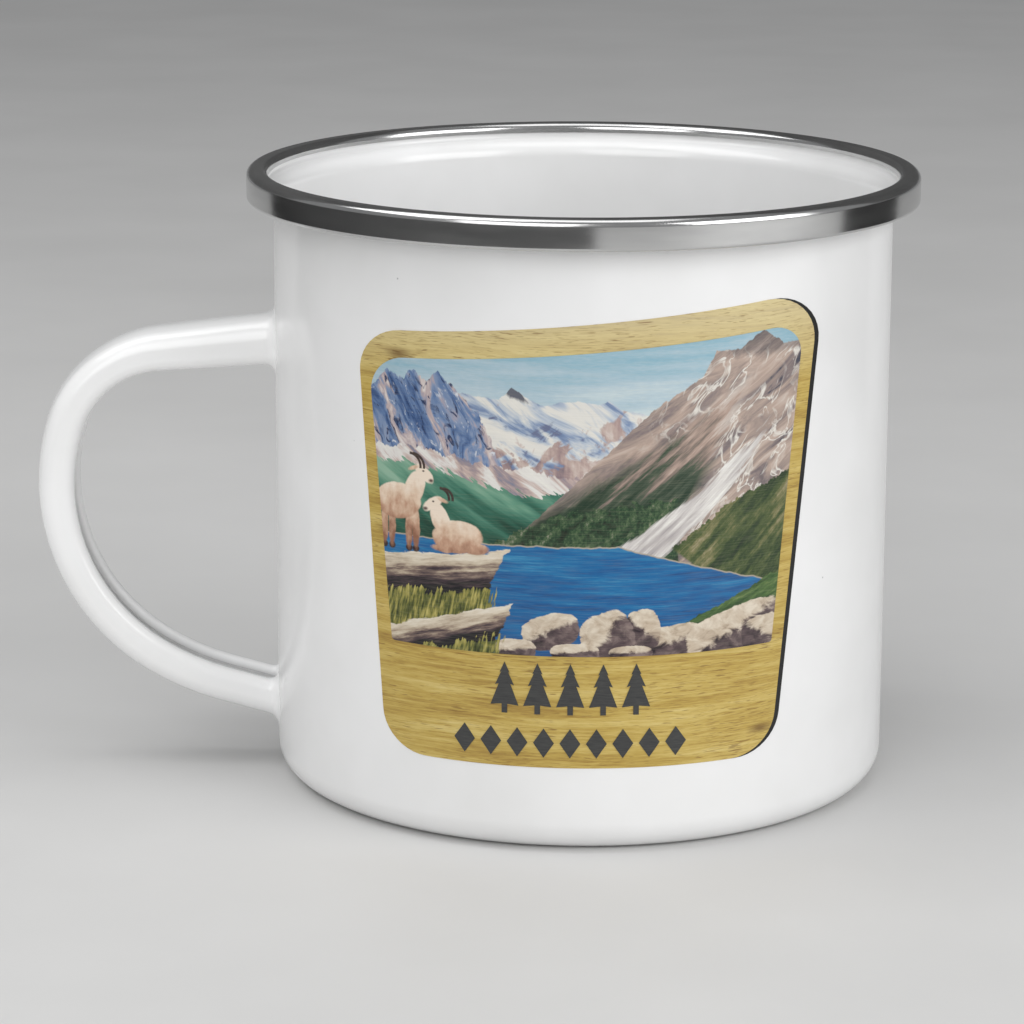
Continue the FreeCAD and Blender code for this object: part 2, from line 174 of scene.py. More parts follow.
def channel_outline(half):
    """The handle's C section about its mid-line: rows of u, v, the outward u and v, and the flare's
    share."""
    rows = walk(CHANNEL_START, CHANNEL_HEADING, CHANNEL_MOVES, CHANNEL_STEP)
    side = []
    for u, v, h in rows:
        side.append((u - half * math.sin(h), v + half * math.cos(h), -math.sin(h), math.cos(h), 1.0))
    u, v, h = rows[-1]
    for i in range(1, LIP_STEPS):
        g = h + math.pi / 2 - math.pi * i / LIP_STEPS
        out_u, out_v = math.cos(g), math.sin(g)
        side.append((u + half * out_u, v + half * out_v, out_u, out_v, 1.0 - i / LIP_STEPS))
    for u, v, h in reversed(rows):
        side.append((u + half * math.sin(h), v - half * math.cos(h), math.sin(h), -math.cos(h), 0.0))
    mirror = [(-u, v, -nu, nv, share) for u, v, nu, nv, share in side[-2:0:-1]]
    return side + mirror


def place(row, u, v):
    """A point of the handle's section, set at a row of the handle's line."""
    x, z, h = row
    return (x + v * math.sin(h), u, z - v * math.cos(h))


def swell(along, nv, share):
    """How far a point of the outer face moves outwards along v where enamel and weld build up."""
    left = max(0.0, 1.0 - along / UPPER_SWELL_END)
    left = left * left * (3 - 2 * left) * SWELL_EASE + left * (1 - SWELL_EASE)
    top, under = UPPER_SWELL
    return share * left * (top * max(0.0, nv) ** 0.5 - under * max(0.0, -nv) ** 0.5)


def foot_point(row, u, v, radius):
    """Where the straight line of section point (u, v) is at a radius from the cup's axis."""
    x0, _, z0 = place(row, u, v)
    _, _, h = row
    x = -math.sqrt(radius * radius - u * u)
    return (x, u, z0 + (x - x0) * math.tan(h))


def skin_rings(half, flared):
    """Rings of one face of the handle's coat, from the cup round to the cup."""
    outline = channel_outline(half)
    line = walk(HANDLE_START, HANDLE_HEADING, HANDLE_MOVES, HANDLE_STEP)
    middle, along = [], 0.0
    for i, row in enumerate(line):
        along += math.dist(row[:2], line[i - 1][:2]) if i else 0.0
        if abs(row[0]) > WALL_RADIUS + FLARE + FOOT_GAP:
            middle.append([place(row, u, v + flared * swell(along, nv, share))
                           for u, v, nu, nv, share in outline])

    def foot(row, swollen):
        """Rings that run straight on from a row of the line into the cup, flaring as they meet it."""
        rings = []
        for k in range(FOOT_RINGS):
            angle = math.pi / 2 * (1 - k / (FOOT_RINGS - 1))
            ring = []
            for u, v, nu, nv, share in outline:
                size = FLARE_HOLLOW + (FLARE - FLARE_HOLLOW) * share if flared else 0.0
                out = size * (1 - math.cos(angle))
                reach = WALL_RADIUS + size * (1 - math.sin(angle)) + (0 if flared else INNER_STEP * k)
                more = swell(reach - abs(line[0][0]), nv, share) if swollen else 0.0
                ring.append(foot_point(row, u + out * nu, v + out * nv + more, reach))
            rings.append(ring)
        inner_radius = WALL_RADIUS - WALL_SINK
        sunk = [(-math.sqrt(inner_radius ** 2 - y * y), y, z) for _, y, z in rings[0]]
        return [sunk] + rings

    return foot(line[0], flared) + middle + foot(line[-1], False)[::-1]


def handle_mesh(name):
    """The handle's white coat: an outer and an inner skin joined at both ends."""
    points, faces, ends = [], [], []
    for half, flared in ((SKIN_TOP, True), (SKIN_FOOT, False)):
        rings = skin_rings(half, flared)
        first, count = len(points), len(rings[0])
        for ring in rings:
            points += ring
        for i in range(len(rings) - 1):
            low, high = first + i * count, first + (i + 1) * count
            for k in range(count):
                n = (k + 1) % count
                faces.append((low + k, low + n, high + n, high + k))
        ends.append((first, first + (len(rings) - 1) * count, count))
    (top_a, top_b, count), (foot_a, foot_b, _) = ends
    for top, under in ((top_a, foot_a), (top_b, foot_b)):
        for k in range(count):
            n = (k + 1) % count
            faces.append((top + k, top + n, under + n, under + k))
    return finish_mesh(name, points, faces)


def rounded(corners, radii):
    """A polygon with each corner rounded by its radius; the corners go round anticlockwise."""
    outline = []
    for i, corner in enumerate(corners):
        here = Vector(corner)
        back = (Vector(corners[i - 1]) - here).normalized()
        on = (Vector(corners[(i + 1) % len(corners)]) - here).normalized()
        half = back.angle(on) / 2
        centre = here + (back + on).normalized() * radii[i] / math.sin(half)
        start = here + back * radii[i] / math.tan(half) - centre
        sweep = math.pi - 2 * half
        for k in range(CORNER_STEPS + 1):
            g = sweep * k / CORNER_STEPS
            outline.append((centre.x + start.x * math.cos(g) - start.y * math.sin(g),
                            centre.y + start.x * math.sin(g) + start.y * math.cos(g)))
    return outline


def film(name, outlines, radii):
    """Thin closed films on the cup's wall, from outlines seen from the front as (x, z)."""
    flat = bmesh.new()
    for outline in outlines:
        flat.faces.new([flat.verts.new((x, 0.0, z)) for x, z in outline])
    low = min(x for outline in outlines for x, _ in outline)
    high = max(x for outline in outlines for x, _ in outline)
    for k in range(math.ceil(low / FILM_STEP), math.floor(high / FILM_STEP) + 1):
        bmesh.ops.bisect_plane(flat, geom=flat.verts[:] + flat.edges[:] + flat.faces[:], dist=TINY,
                               plane_co=(k * FILM_STEP, 0, 0), plane_no=(1, 0, 0))
    count = len(flat.verts)
    flat.verts.index_update()
    points = []
    for radius in radii:
        points += [(v.co.x, -math.sqrt(radius * radius - v.co.x ** 2), v.co.z) for v in flat.verts]
    faces = [tuple(v.index for v in f.verts) for f in flat.faces]
    faces += [tuple(v.index + count for v in f.verts) for f in flat.faces]
    for e in flat.edges:
        if len(e.link_faces) == 1:
            a, b = (v.index for v in e.verts)
            faces.append((a, b, b + count, a + count))
    flat.free()
    return finish_mesh(name, points, faces, FILM_CREASE)


def fir(x, z):
    """A fir tree's outline with three tiers of drooping boughs."""
    half = [(0.0, 6.6), (0.62, 5.2), (0.42, 5.3), (1.18, 3.6), (0.72, 3.75), (1.75, 1.0), (0.35, 1.15),
            (0.35, 0.0)]
    right = [(x + w, z + h) for w, h in half]
    left = [(x - w, z + h) for w, h in half[:0:-1]]
    return (right + left)[::-1]


def diamond(x, z):
    """A diamond's outline about its middle."""
    w, h = DIAMOND_HALF
    return [(x - w, z), (x, z - h), (x + w, z), (x, z + h)]


# ---------------------------------------------------------------- shader nodes

def linear(r, g, b, gain=1.0):
    """A screen colour, 0 to 255, as the linear colour a shader wants."""
    def one(c):
        c /= 255
        return min(1.0, gain * (c / 12.92 if c <= 0.04045 else ((c + 0.055) / 1.055) ** 2.4))
    return (one(r), one(g), one(b), 1.0)


class Value:
    """A number on its way through a material. Sums and products with it add Math nodes."""

    def __init__(self, painter, socket):
        self.painter, self.socket = painter, socket

    def __add__(self, other):
        return self.painter.math("ADD", self, other)

    def __sub__(self, other):
        return self.painter.math("SUBTRACT", self, other)

    def __mul__(self, other):
        return self.painter.math("MULTIPLY", self, other)

    def __rsub__(self, other):
        return self.painter.math("SUBTRACT", other, self)


class Painter:
    """Makes a material's nodes one after another."""

    def __init__(self, name):
        self.material = bpy.data.materials.new(name)
        self.material.use_nodes = True
        self.tree = self.material.node_tree
        self.surface = self.tree.nodes["Principled BSDF"]

    def node(self, kind, **settings):
        made = self.tree.nodes.new(kind)
        for key, value in settings.items():
            setattr(made, key, value)
        return made

    def feed(self, socket, value):
        if isinstance(value, Value):
            self.tree.links.new(value.socket, socket)
        elif isinstance(value, bpy.types.NodeSocket):
            self.tree.links.new(value, socket)
        else:
            socket.default_value = value

    def math(self, operation, *values, clamp=False):
        made = self.node("ShaderNodeMath", operation=operation, use_clamp=clamp)
        for socket, value in zip(made.inputs, values):
            self.feed(socket, value)
        return Value(self, made.outputs[0])

    def least(self, *values):
        value = values[0]
        for other in values[1:]:
            value = self.math("MINIMUM", value, other)
        return value

    def most(self, *values):
        value = values[0]
        for other in values[1:]:
            value = self.math("MAXIMUM", value, other)
        return value

    def cover(self, distance, softness=0.15):
        """1 where a distance in mm is above zero, 0 below, with a soft edge."""
        return self.math("MULTIPLY_ADD", distance, 1.0 / softness, 0.5, clamp=True)

    def place(self):
        """Object coordinates in mm."""
        split = self.node("ShaderNodeSeparateXYZ")
        scale = self.node("ShaderNodeVectorMath", operation="SCALE")
        scale.inputs["Scale"].default_value = 1.0 / MM
        self.feed(scale.inputs[0], self.node("ShaderNodeTexCoord").outputs["Object"])
        self.feed(split.inputs[0], scale.outputs[0])
        return [Value(self, out) for out in split.outputs]

    def wrapped(self):
        """Distance round the cup from its front, and height, in mm."""
        x, y, z = self.place()
        return self.math("ARCTAN2", x, y * -1.0) * WALL_RADIUS, z

    def vector(self, a, b, c=0.0):
        made = self.node("ShaderNodeCombineXYZ")
        for socket, value in zip(made.inputs, (a, b, c)):
            self.feed(socket, value)
        return made.outputs[0]

    def seen_from(self, vector, at, angle=0.0, size=(1.0, 1.0)):
        """A place measured from a point, along directions turned by some degrees, in steps of a size."""
        made = self.node("ShaderNodeMapping", vector_type="TEXTURE")
        self.feed(made.inputs["Vector"], vector)
        made.inputs["Location"].default_value = at
        made.inputs["Rotation"].default_value = (0.0, 0.0, math.radians(angle))
        made.inputs["Scale"].default_value = (*size, 1.0)
        return made.outputs[0]

    def noise(self, a, b, c=0.0, **settings):
        """Noise at a place given by three numbers."""
        return self.lumps(self.vector(a, b, c), **settings)

    def lumps(self, vector, detail=2.0, roughness=0.5, twist=0.0):
        """Noise about zero, from -0.5 to 0.5, one lump to a unit."""
        made = self.node("ShaderNodeTexNoise")
        self.feed(made.inputs["Vector"], vector)
        made.inputs["Scale"].default_value = 1.0
        made.inputs["Detail"].default_value = detail
        made.inputs["Roughness"].default_value = roughness
        made.inputs["Distortion"].default_value = twist
        return Value(self, made.outputs[0]) - 0.5

    def specks(self, a, b, c):
        """Distance to the nearest of many scattered points, about one point to a unit."""
        made = self.node("ShaderNodeTexVoronoi")
        self.feed(made.inputs["Vector"], self.vector(a, b, c))
        made.inputs["Scale"].default_value = 1.0
        return Value(self, made.outputs["Distance"])

    def ramp(self, value, *stops):
        """A colour from a value; the stops are (value, colour)."""
        made = self.node("ShaderNodeValToRGB")
        self.feed(made.inputs[0], value)
        marks = made.color_ramp.elements
        marks[0].position, marks[0].color = stops[0]
        marks[1].position, marks[1].color = stops[-1]
        for position, colour in stops[1:-1]:
            marks.new(position).color = colour
        return made.outputs[0]

    def blend(self, factor, under, over):
        """One colour laid over another, as much as the factor says."""
        made = self.node("ShaderNodeMix", data_type="RGBA")
        factor_in, (under_in, over_in) = made.inputs["Factor"], made.inputs[6:8]
        self.feed(factor_in, factor)
        self.feed(under_in, under)
        self.feed(over_in, over)
        return made.outputs[2]

    def bump(self, height, depth_mm, strength):
        """Feeds a bump to the surface; a height of 1 is the depth."""
        made = self.node("ShaderNodeBump")
        made.inputs["Strength"].default_value = strength
        made.inputs["Distance"].default_value = depth_mm * MM
        self.feed(made.inputs["Height"], height)
        self.feed(self.surface.inputs["Normal"], made.outputs[0])

    def set(self, **inputs):
        """Feeds the surface's inputs, named with _ for a space, and returns the material."""
        for key, value in inputs.items():
            self.feed(self.surface.inputs[key.replace("_", " ")], value)
        return self.material


def enamel_white(name, dark, light):
    """Fired white enamel: a glassy coat with orange peel, faint clouding and a few pinholes."""
    p = Painter(name)
    x, y, z = p.place()
    clouds = p.noise(x * 0.06, y * 0.06, z * 0.06, detail=3)
    colour = p.ramp(clouds + 0.5, (0.3, (dark, dark, dark * 0.995, 1)), (0.7, (light,) * 3 + (1,)))
    holes = p.cover(0.012 - p.specks(x * 0.11, y * 0.11, z * 0.11), 0.01)
    colour = p.blend(holes * 0.6, colour, linear(120, 120, 124))
    peel = p.noise(x * 0.55, y * 0.55, z * 0.55, detail=2)
    p.bump(peel + holes * -1.0, 0.012, 0.35)
    rough = p.math("MULTIPLY_ADD", clouds, 0.08, 0.20)
    return p.set(Base_Color=colour, Roughness=rough, IOR=1.52, Coat_Weight=0.15, Coat_Roughness=0.15)


def ground_coat(name):
    """The blue-black ground coat under the white."""
    p = Painter(name)
    x, y, z = p.place()
    n = p.noise(x * 0.4, y * 0.4, z * 0.4, detail=4)
    colour = p.ramp(n + 0.5, (0.3, linear(22, 25, 33)), (0.7, linear(44, 48, 58)))
    p.bump(n, 0.02, 0.4)
    return p.set(Base_Color=colour, Roughness=p.math("MULTIPLY_ADD", n, 0.3, 0.35))


def sheet_steel(name):
    """Cold-rolled sheet with its mill finish and a little oxide."""
    p = Painter(name)
    x, y, z = p.place()
    n = p.noise(x * 0.2, y * 0.2, z * 0.2, detail=5)
    lines = p.noise(x * 0.3, y * 0.3, z * 12.0, detail=2)
    colour = p.ramp(n + 0.5, (0.25, linear(120, 118, 116)), (0.75, linear(160, 160, 162)))
    p.bump(lines, 0.01, 0.3)
    return p.set(Base_Color=colour, Metallic=1.0, Roughness=p.math("MULTIPLY_ADD", n, 0.4, 0.38))


def stainless(name):
    """The rim band: polished stainless with fine lines round it and a few handling marks."""
    p = Painter(name)
    s, z = p.wrapped()
    lines = p.noise(s * 0.05, z * 9.0, detail=3, roughness=0.7)
    smears = p.noise(s * 0.09, z * 0.5, 7.0, detail=3)
    grit = p.noise(s * 3.0, z * 3.0, 3.0, detail=2)
    colour = p.ramp(smears + 0.5, (0.3, (0.52, 0.52, 0.52, 1)), (0.7, (0.62, 0.62, 0.615, 1)))
    p.bump(lines * 0.7 + grit * 0.5, 0.004, 0.30)
    rough = lines * 0.10 + smears * 0.12 + 0.17
    return p.set(Base_Color=colour, Metallic=1.0, Roughness=rough)


def print_wood(name):
    """The printed board: a pale yellow plank with a straight grain, brown pores and small knots."""
    p = Painter(name)
    s, z = p.wrapped()
    bend = p.noise(s * 0.05, z * 0.12, 2.0, detail=2) * 1.6
    level = z + bend
    broad = p.noise(s * 0.035, level * 0.45, detail=3, roughness=0.55)
    fibre = p.noise(s * 0.35, level * 5.5, 5.0, detail=3, roughness=0.65)
    lines = p.noise(s * 0.10, level * 2.4, 7.0, detail=3, roughness=0.6)
    tone = broad * 0.8 + lines * 0.5 + fibre * 0.5 + 0.5
    colour = p.ramp(tone, (0.22, linear(146, 112, 48)), (0.45, linear(184, 156, 76)),
                    (0.62, linear(202, 178, 102)), (0.85, linear(218, 200, 138)))
    colour = p.blend(p.cover(z - 63.0, 9.0) * 0.45, colour, linear(226, 218, 186))
    pores = p.noise(s * 0.42, level * 4.2, 9.0, detail=2, roughness=0.4)
    patchy = p.noise(s * 0.07, level * 0.25, 12.0, detail=1)
    dashes = p.cover(pores + patchy * 0.25 - 0.18, 0.06)
    colour = p.blend(dashes * 0.6, colour, linear(112, 78, 30))
    scratches = p.noise(s * 0.5, level * 7.5, 15.0, detail=1)
    colour = p.blend(p.cover(scratches + patchy * 0.2 - 0.14, 0.06) * 0.45, colour, linear(128, 92, 38))
    # small knots: where each is and its half height
    for at_s, at_z, size in ((-24.0, 62.5, 1.0), (-25.6, 40.0, 0.9), (-25.0, 36.2, 0.7),
                             (24.3, 14.6, 0.9), (-20.5, 30.0, 0.5)):
        ds, dz = (s - at_s) * 0.36, level - at_z
        away = p.math("SQRT", ds * ds + dz * dz) + fibre * 0.8
        colour = p.blend(p.cover(size * 0.55 - away, size * 0.9) * 0.75, colour, linear(96, 60, 22))
    return p.set(Base_Color=colour, Roughness=p.math("MULTIPLY_ADD", fibre, 0.15, 0.34), IOR=1.5)


def print_ink(name, dark, light):
    """A printed ink with the grain of the board showing through it a little."""
    p = Painter(name)
    s, z = p.wrapped()
    fibre = p.noise(s * 0.6, z * 6.0, 4.0, detail=3, roughness=0.6)
    colour = p.ramp(fibre + 0.5, (0.3, linear(*dark)), (0.75, linear(*light)))
    return p.set(Base_Color=colour, Roughness=p.math("MULTIPLY_ADD", fibre, 0.15, 0.35))


# ---------------------------------------------------------------- the painting

def print_picture(name):
    """A generic alpine lake of the builder's own, in the photographed badge's palette and broad areas."""
    p = Painter(name)
    s, z = p.wrapped()
    spot = p.vector(s, z)

    def c(r, g, b):
        """A screen colour as the print shows it, a little lighter and with deeper blacks."""
        lit = linear(r, g, b, 1.08)
        return (*(max(0.0, v - 0.020) for v in lit[:3]), 1.0)

    def peak(at, top, left, right):
        """Height above a pair of slopes that fall from a summit."""
        return p.least(p.math("MULTIPLY_ADD", s, left, top - left * at),
                       p.math("MULTIPLY_ADD", s, -right, top + right * at))

    def line(at, level, slope):
        """Height of a straight line that passes a point."""
        return p.math("MULTIPLY_ADD", s, slope, level - slope * at)

    def lumps(along, across, seed, angle=0.0, **settings):
        """Noise drawn out along a direction, in degrees above the horizontal to the right."""
        return p.lumps(p.seen_from(spot, (0.0, 0.0, -seed), angle, (1 / along, 1 / across)), **settings)

    def oval(at_s, at_z, half_s, half_z, angle=0.0):
        """Distance in mm inside an oval, roughly."""
        away = p.node("ShaderNodeVectorMath", operation="LENGTH")
        p.feed(away.inputs[0], p.seen_from(spot, (at_s, at_z, 0.0), angle, (half_s, half_z)))
        size = min(half_s, half_z)
        return p.math("MULTIPLY_ADD", away.outputs["Value"], -size, size)

    def lay(inside, under, over, softness=0.15):
        """One colour over another where a distance in mm is above zero."""
        return p.blend(p.cover(inside, softness), under, over)

    # strokes that several areas share
    jag = lumps(0.9, 0.25, 1.0, detail=4, roughness=0.6)
    brush = lumps(0.9, 5.0, 8.0)
    fringe = lumps(0.30, 1.3, 25.0, -36, detail=3, roughness=0.6)
    moss = lumps(0.09, 0.70, 37.0, 41, detail=4, roughness=0.65)
    trees = lumps(1.6, 1.0, 41.0, detail=3, roughness=0.7)

    def sky():
        """A hazy sky, paler towards the mountains."""
        wisps = lumps(0.06, 0.55, 3.0, detail=3) * 1.1 + brush * 0.35
        haze = p.math("MULTIPLY_ADD", z, 0.055, -2.82) + wisps
        return p.ramp(haze, (0.15, c(194, 206, 208)), (0.45, c(170, 190, 200)), (0.75, c(142, 176, 190)),
                      (1.0, c(118, 163, 182)))

    def far_range(colour):
        """A snow range far off, with mauve crags and one dark knob."""
        ridge = p.most(peak(-15.0, 58.4, 0.5, 0.10), peak(-8.6, 59.6, 1.0, 0.6),
                       peak(-0.6, 58.2, 0.22, 0.22), peak(3.4, 58.3, 0.7, 0.9), 53.5) + jag * 0.9
        shade = lumps(0.11, 0.34, 11.0, -32, detail=4, roughness=0.6, twist=0.8)
        snow = p.ramp(shade + 0.5, (0.26, c(66, 86, 126)), (0.38, c(124, 142, 172)),
                      (0.45, c(176, 186, 198)), (0.53, c(214, 212, 206)), (0.80, c(230, 225, 214)))
        crag = lumps(0.20, 0.30, 13.0, 35, detail=4, roughness=0.62, twist=0.9)
        mauve = p.ramp(shade * 0.8 + jag * 0.5 + 0.5, (0.30, c(112, 100, 112)), (0.45, c(160, 138, 136)),
                       (0.55, c(184, 164, 156)), (0.72, c(214, 206, 200)))
        snow = lay(crag + shade * 0.4 + (54.6 - z) * 0.035 - 0.12, snow, mauve, 0.06)
        snow = lay(shade * -0.6 - crag - 0.17, snow, c(104, 112, 140), 0.08)
        knob = p.least(peak(-8.5, 60.6, 1.9, 1.4) - z, line(-8.5, -58.3, 0.3) + z) + jag * 1.6
        snow = lay(knob, snow, c(96, 98, 108), 0.4)
        return lay(ridge - z, colour, snow)

    def blue_crags(colour):
        """Blue crags at the left."""
        ridge = p.most(peak(-25.7, 60.4, 0.9, 0.35), peak(-22.4, 60.8, 1.5, 0.5),
                       peak(-18.2, 60.9, 0.7, 0.95), peak(-15.0, 57.6, 1.5, 2.0)) + jag * 2.4
        ridge = p.least(ridge, line(-14.0, 58.5, -2.1) + jag * 6.0)
        facet = lumps(0.12, 0.30, 17.0, -64, detail=4, roughness=0.6, twist=1.4)
        crags = p.ramp(facet + 0.5, (0.25, c(34, 48, 80)), (0.35, c(64, 88, 130)),
                       (0.44, c(98, 122, 160)), (0.51, c(130, 146, 174)), (0.57, c(176, 160, 162)),
                       (0.63, c(200, 188, 184)), (0.74, c(222, 220, 218)))
        cleft = lumps(0.45, 0.9, 19.0, -60, detail=3, roughness=0.6, twist=1.2)
        crags = lay(cleft * -1.0 - 0.12, crags, c(48, 60, 92), 0.10)
        crags = lay(cleft - 0.17, crags, c(204, 206, 212), 0.10)
        return lay(ridge - z, colour, crags)

    def tongues(colour):
        """Tongues of snow and scree under the crags."""
        ridge = p.most(peak(-22.0, 51.2, 0.08, 0.14), peak(-6.5, 49.8, 0.30, 0.50),
                       peak(3.5, 50.6, 0.55, 0.2)) + jag * 2.4
        tongue = lumps(0.12, 0.55, 21.0, -38, detail=4, roughness=0.62, twist=0.6)
        tongues = p.ramp(tongue + 0.5, (0.30, c(108, 118, 142)), (0.41, c(158, 142, 144)),
                         (0.48, c(192, 172, 164)), (0.55, c(214, 210, 206)), (0.70, c(226, 224, 216)))
        return lay(ridge - z, colour, tongues)

    def valley(colour):
        """A green valley, its slopes falling from the left."""
        slant = lumps(0.07, 0.45, 23.0, -30, detail=3, roughness=0.6)
        ridge = p.most(peak(-20.0, 49.0, 0.03, 0.22), peak(0.0, 46.6, 0.06, 0.02)) + fringe * 3.6
        green = p.ramp(slant + (z - 44.0) * 0.045 + 0.48, (0.24, c(38, 70, 58)), (0.40, c(50, 96, 80)),
                       (0.52, c(70, 120, 102)), (0.64, c(100, 146, 124)), (0.80, c(140, 174, 152)))
        return lay(ridge - z, colour, green)

    def brown_peak(colour):
        """A great brown peak at the right, veined with snow and mossy low down."""
        ridge = p.most(p.least(line(16.2, 62.4, 1.75), line(0.0, 63.4, 0.02)),
                       peak(23.7, 66.0, 0.62, 0.66), peak(14.6, 58.4, 0.48, 0.2))
        ridge = p.least(ridge, line(7.2, 55.2, 0.95)) + jag * 1.1
        strata = lumps(0.10, 0.50, 31.0, 32, detail=5, roughness=0.64, twist=1.0)
        rock = p.ramp(strata + 0.5, (0.26, c(88, 82, 86)), (0.38, c(126, 114, 114)),
                      (0.48, c(154, 138, 130)), (0.58, c(178, 158, 146)), (0.66, c(192, 178, 168)),
                      (0.78, c(210, 204, 196)))
        veins = lumps(0.20, 0.40, 35.0, 48, detail=3, roughness=0.55, twist=0.9)
        thin = p.cover(0.020 - p.math("ABSOLUTE", veins), 0.04)
        patch = p.cover(lumps(0.14, 0.16, 39.0, detail=1) + 0.05, 0.12)
        high = p.cover(p.math("MULTIPLY_ADD", z, 0.3, -26.0) + s, 3.0)
        high = high * p.cover(64.0 - z + veins * 3.0, 1.5)
        rock = p.blend(thin * patch * high, rock, c(220, 216, 208))
        rock = lay(strata * -1.0 + veins * 0.5 - 0.19, rock, c(70, 72, 84), 0.07)
        cap = p.cover(s - 19.0 + jag * 4.0, 1.0) * p.cover(z - 63.0 + jag * 2.0, 0.8)
        dark = p.ramp(strata + 0.5, (0.3, c(66, 64, 72)), (0.5, c(116, 106, 104)),
                      (0.7, c(162, 150, 144)))
        rock = p.blend(cap * 0.8, rock, dark)
        mossy = p.ramp(moss + (50.0 - z) * -0.022 + 0.47, (0.28, c(40, 58, 46)), (0.42, c(72, 84, 70)),
                       (0.50, c(128, 114, 106)), (0.60, c(172, 150, 138)), (0.74, c(206, 198, 190)))
        low = p.cover(line(8.0, 51.5, 0.62) - z + veins * 4.0, 2.6)
        low = low * p.cover(16.5 - s + (z - 50.0) * 0.5, 2.0)
        rock = p.blend(low, rock, mossy)
        return lay(ridge - z, colour, rock)

    def forest(colour):
        """Dark forest at the peak's foot, left of the scree."""
        ridge = p.least(line(-2.5, 43.8, 0.45), line(9.0, 45.4, 0.12)) + jag * 3.0 + fringe * 3.0
        woods = p.ramp(trees * 0.9 + moss * 0.9 + 0.5, (0.28, c(30, 46, 38)), (0.46, c(48, 70, 52)),
                       (0.60, c(72, 94, 66)), (0.74, c(128, 130, 112)), (0.88, c(176, 172, 160)))
        return p.blend(p.cover(ridge - z) * p.cover(12.5 - s + jag * 2.0, 0.6), colour, woods)

    def scree_fan(colour):
        """A fan of scree that sweeps down to the water."""
        run = z - 39.4
        fan = lumps(0.10, 1.0, 43.0, 43, detail=4, roughness=0.62)
        scree = p.ramp(fan + 0.5, (0.28, c(140, 134, 138)), (0.44, c(180, 174, 172)),
                       (0.56, c(208, 204, 200)), (0.68, c(228, 226, 220)))
        centre = run * (1.42 - run * 0.020) + 8.0
        inside = 3.7 - run * 0.24 - p.math("ABSOLUTE", s - centre) + fan * 5.0
        return p.blend(p.cover(inside, 0.7) * p.cover(54.0 - z + fan * 8.0, 2.5), colour, scree)

    def right_slope(colour):
        """A green slope at the far right."""
        ridge = p.least(line(11.5, 39.3, 0.70), line(19.0, 44.6, 0.36)) + jag * 1.8 + fringe * 1.4
        slope = lumps(0.09, 0.60, 47.0, 43, detail=4, roughness=0.66)
        green = p.ramp(slope + trees * 0.25 + 0.5, (0.30, c(34, 48, 38)), (0.43, c(52, 68, 44)),
                       (0.54, c(78, 90, 56)), (0.64, c(118, 116, 80)), (0.74, c(160, 148, 120)),
                       (0.86, c(190, 182, 166)))
        return p.blend(p.cover(ridge - z) * p.cover(s - 11.5 - (39.3 - z) * 1.2, 0.5), colour, green)

    def lake(colour):
        """The lake, with a pale line along its shore."""
        shore = p.least(p.least(line(-5.0, 42.3, -0.28), 42.3),
                        p.most(p.least(line(11.5, 39.6, -0.48), 39.6), 35.0),
                        line(-27.0, 41.5, 0.09)) + p.noise(s * 0.5, 0.0, 51.0) * 0.7
        colour = lay(shore + 0.16 - z, colour, c(170, 160, 142), 0.12)
        ripple = lumps(0.09, 1.3, 53.0, detail=5, roughness=0.65)
        water = p.ramp(ripple + (z - 35.0) * 0.010 + brush * 0.12 + 0.5, (0.26, c(20, 70, 114)),
                       (0.42, c(26, 90, 142)), (0.56, c(36, 106, 156)), (0.72, c(62, 134, 174)))
        return lay(shore - z, colour, water)

    def bank(colour):
        """A grassy bank at the right."""
        ridge = p.least(line(10.3, 28.4, 0.42), line(0.0, 34.2, 0.02)) + jag * 1.2
        turf = lumps(0.25, 1.1, 57.0, 22, detail=4, roughness=0.7)
        grass = p.ramp(turf + (z - 31.0) * 0.03 + 0.46, (0.28, c(36, 54, 38)), (0.44, c(56, 82, 48)),
                       (0.56, c(82, 108, 62)), (0.72, c(126, 138, 90)))
        return p.blend(p.cover(ridge - z) * p.cover(s - 9.5, 0.8), colour, grass)

    def boulders(colour):
        """Boulders, tan on top and plum-grey on the side."""
        grain = lumps(0.5, 0.8, 65.0, detail=5, roughness=0.62, twist=0.6)

        def boulder(under, at_s, at_z, half_s, half_z, angle, split):
            split_place = p.node("ShaderNodeSeparateXYZ")
            p.feed(split_place.inputs[0], p.seen_from(spot, (at_s, at_z, 0.0), angle, (half_s, half_z)))
            a, b = (Value(p, out) for out in split_place.outputs[:2])
            inside = (1.0 - p.math("POWER", p.math("ABSOLUTE", a), 3.0)
                      - p.math("POWER", p.math("ABSOLUTE", b), 2.6))
            lit = p.cover(b - a * split + grain * 1.3 - 0.05, 0.25)
            side = p.ramp(grain + a * 0.12 + 0.5, (0.30, c(48, 40, 46)), (0.52, c(92, 78, 80)),
                          (0.72, c(134, 118, 114)))
            top = p.ramp(grain + b * 0.10 + 0.5, (0.28, c(140, 122, 108)), (0.48, c(188, 172, 152)),
                         (0.70, c(214, 203, 186)))
            return lay(inside + grain * 0.9, under, p.blend(lit, side, top), 0.12)

        # place, half width, half height, angle, and which way the split between top and side leans
        for stone in ((12.2, 27.4, 3.6, 2.2, 8, 0.2), (20.5, 28.2, 7.2, 2.9, 14, 0.5),
                      (24.6, 27.0, 3.4, 2.6, 4, -0.8), (7.9, 29.0, 2.2, 2.7, 6, -0.9),
                      (3.4, 28.4, 3.3, 3.0, 24, 0.5), (-3.6, 28.9, 3.6, 2.2, 14, 0.3),
                      (-8.0, 26.4, 2.6, 1.4, 0, 0.2), (-0.6, 26.3, 3.0, 1.1, 0, 0.2),
                      (6.4, 26.2, 2.8, 0.9, 0, 0.1)):
            colour = boulder(colour, *stone)
        return colour

    def ledges(colour):
        """Two ledges at the left, pale on top and dark below, with grass between."""
